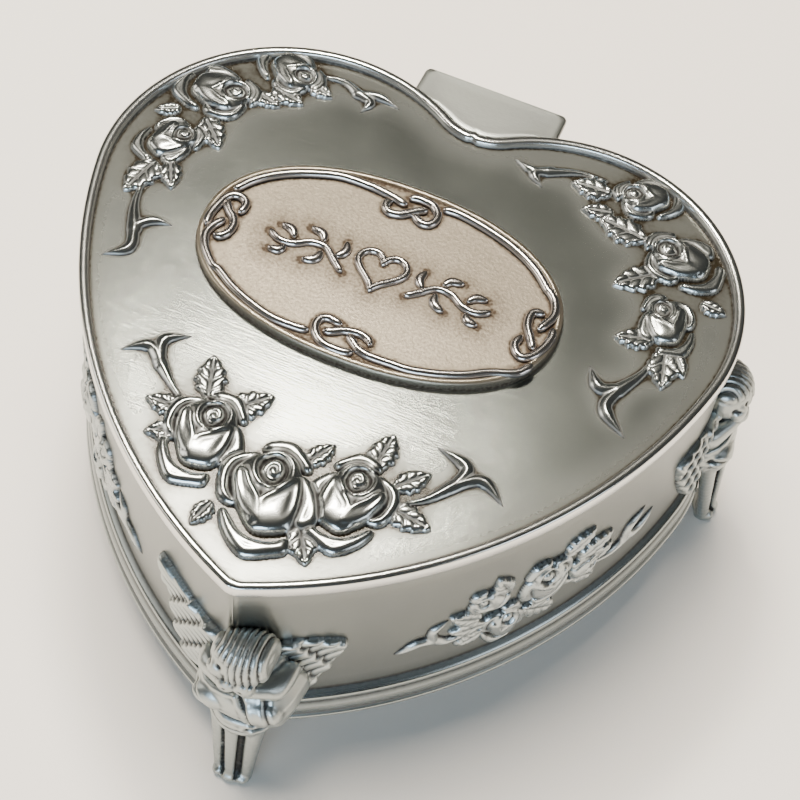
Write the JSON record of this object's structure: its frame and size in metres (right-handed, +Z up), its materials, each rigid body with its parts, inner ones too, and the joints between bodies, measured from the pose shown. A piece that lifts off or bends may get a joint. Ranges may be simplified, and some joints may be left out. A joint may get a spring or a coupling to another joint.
{
  "type": "music box",
  "caption": "Heart-shaped cast pewter music box on three cherub feet, with a hinged lid of rose sprays, an oval plaque and a wind-up comb movement.",
  "frame": {"origin": "centre of the bounding box at the feet's resting plane", "axes": "+X across the lobes to the right lobe, +Y from the heart's tip to the hinge, +Z up through the lid"},
  "size_m": [0.1072, 0.1033, 0.0495],
  "materials": {
    "pewter": "satin antiqued pewter",
    "antique_relief": "antiqued pewter with dark recesses",
    "plaque_bronze": "warm antiqued pewter, grainy recesses",
    "steel": "brushed",
    "tray_board": "matte",
    "velvet": "short-pile velvet",
    "movement_casting": "die-cast",
    "brass": "satin"
  },
  "bodies": {
    "case": {"box_wall": "pewter", "base_moulding": "pewter", "cherub_foot_front": "antique_relief", "cherub_foot_left": "antique_relief", "cherub_foot_right": "antique_relief", "side_spray_left": "antique_relief", "side_spray_right": "antique_relief", "hinge_bracket": "pewter", "hinge_pin": "steel", "tray": "tray_board", "tray_lining": "velvet", "bottom_plate": "steel", "bottom_screws": "steel", "bedplate": "movement_casting", "left_bearing": "movement_casting", "right_bearing": "movement_casting", "spring_housing": "movement_casting", "comb": "steel", "comb_screws": "steel", "governor_bracket": "movement_casting", "stop_spring": "steel"},
    "lid": {"lid_shell": "pewter", "lid_lip": "pewter", "lid_lining": "velvet", "rose_spray_front": "antique_relief", "rose_spray_left": "antique_relief", "rose_spray_right": "antique_relief", "lid_plaque": "plaque_bronze", "plaque_border": "plaque_bronze", "plaque_ornament": "plaque_bronze", "hinge_leaf": "pewter"},
    "winding": {"winding_key": "steel", "winding_arbor": "steel", "crown_wheel": "brass", "mainspring": "steel"},
    "cylinder": {"pinned_cylinder": "brass", "cylinder_arbor": "steel", "cylinder_pinion": "brass", "cylinder_wheel": "brass"},
    "governor": {"governor_arbor": "steel", "governor_pinion": "brass", "worm_wheel": "brass"},
    "fan": {"worm": "steel", "air_fan": "brass"},
    "stop": {"stop_rod": "steel"}
  },
  "joints": [
    {"name": "lid_hinge", "type": "hinge", "parent": "case", "child": "lid", "pos_m": [0, 0.0485, 0.0442], "axis": [-1, 0, 0], "range_deg": [0, 98]},
    {"name": "cylinder_spin", "type": "hinge", "parent": "case", "child": "cylinder", "pos_m": [0.012, 0.018, 0.0224], "axis": [1, 0, 0], "continuous": true},
    {"name": "key_spin", "type": "hinge", "parent": "case", "child": "winding", "pos_m": [-0.0155, 0.018, 0.012], "axis": [0, 0, 1], "continuous": true},
    {"name": "governor_spin", "type": "hinge", "parent": "case", "child": "governor", "pos_m": [0.03, 0.0281, 0.0224], "axis": [1, 0, 0], "continuous": true},
    {"name": "fan_spin", "type": "hinge", "parent": "case", "child": "fan", "pos_m": [0.0322, 0.03365, 0.0224], "axis": [0, 0, 1], "continuous": true},
    {"name": "stop_press", "type": "slide", "parent": "case", "child": "stop", "axis": [0, 0, 1], "range_m": [-0.0024, 0], "stiffness_N_per_m": 40, "deforming": ["stop_spring"]}
  ],
  "couplings": [
    {"joint": "key_spin", "follows": "cylinder_spin", "ratio": 0.25},
    {"joint": "governor_spin", "follows": "cylinder_spin", "ratio": -3},
    {"joint": "fan_spin", "follows": "cylinder_spin", "ratio": 30}
  ]
}
